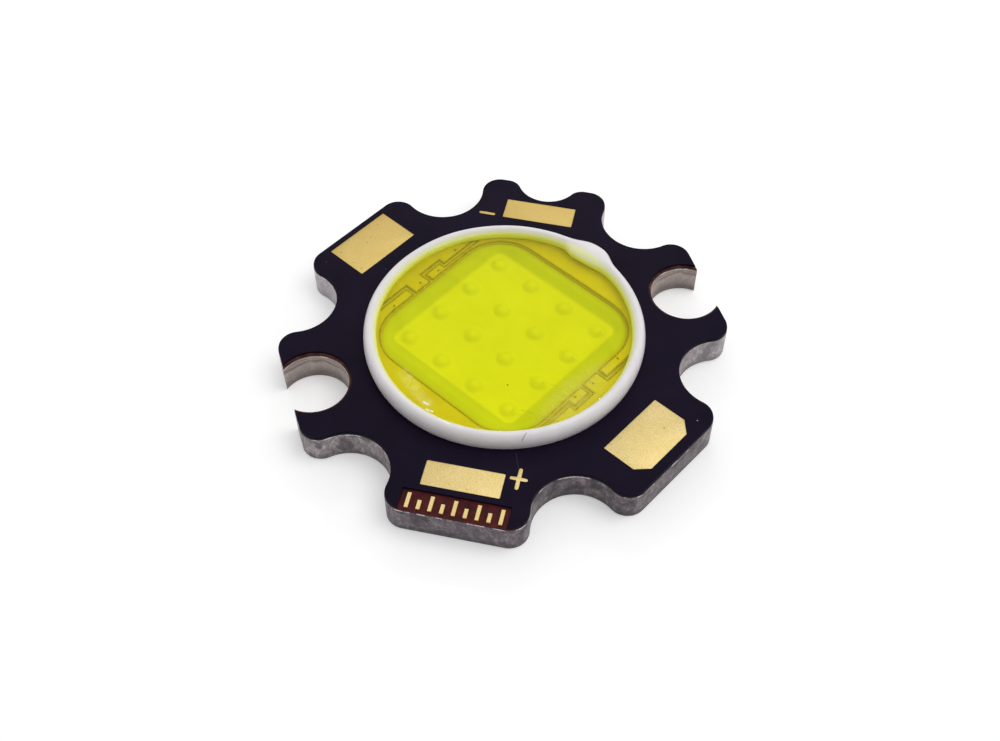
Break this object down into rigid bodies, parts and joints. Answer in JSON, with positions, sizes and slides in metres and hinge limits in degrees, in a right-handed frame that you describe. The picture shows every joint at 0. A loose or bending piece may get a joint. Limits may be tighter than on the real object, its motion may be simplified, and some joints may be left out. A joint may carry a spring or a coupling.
{
  "type": "chip-on-board led on a star board",
  "caption": "Chip-on-board LED: a round, dammed and filled light-emitting area over a square pocket, on a lobed metal-core board with solder pads and two screw slots.",
  "frame": {"origin": "centre of the board's underside, in the plane that lies on the heatsink", "axes": "+Z away from the heatsink, +Y towards the minus side's lead pad, +X to the right of that"},
  "size_m": [0.0198, 0.02, 0.0025],
  "materials": {
    "bare_aluminium": "fine-grained punched sheet",
    "brown_dielectric": "satin, faintly mottled",
    "black_solder_mask": "satin",
    "copper_foil": "matt",
    "gold_plating": "fine matt grain",
    "gold_wire": "bright",
    "white_silicone": "smooth, satin",
    "tinted_silicone": "clear and glossy",
    "yellow_phosphor": "matt, even",
    "led_chip": "polished",
    "die_adhesive": "translucent"
  },
  "bodies": {
    "root": {"bond_wires_row_a": "gold_wire", "bond_wires_row_b": "gold_wire", "bond_wires_row_c": "gold_wire", "bond_wires_row_d": "gold_wire", "die_attach": "die_adhesive", "dielectric_layer": "brown_dielectric", "edge_ticks": "gold_plating", "far_jumper_bond_plating": "gold_plating", "far_jumper_copper": "copper_foil", "led_die_a1": "led_chip", "led_die_a2": "led_chip", "led_die_a3": "led_chip", "led_die_a4": "led_chip", "led_die_b1": "led_chip", "led_die_b2": "led_chip", "led_die_b3": "led_chip", "led_die_b4": "led_chip", "led_die_c1": "led_chip", "led_die_c2": "led_chip", "led_die_c3": "led_chip", "led_die_c4": "led_chip", "led_die_d1": "led_chip", "led_die_d2": "led_chip", "led_die_d3": "led_chip", "led_die_d4": "led_chip", "metal_core": "bare_aluminium", "minus_mark": "gold_plating", "near_jumper_bond_plating": "gold_plating", "near_jumper_copper": "copper_foil", "negative_bond_plating": "gold_plating", "negative_copper": "copper_foil", "negative_pad": "gold_plating", "phosphor_layer": "yellow_phosphor", "plus_mark": "gold_plating", "positive_bond_plating": "gold_plating", "positive_copper": "copper_foil", "positive_pad": "gold_plating", "silicone_dam": "white_silicone", "silicone_fill": "tinted_silicone", "solder_mask": "black_solder_mask", "wide_negative_pad": "gold_plating", "wide_positive_pad": "gold_plating"}
  },
  "joints": []
}
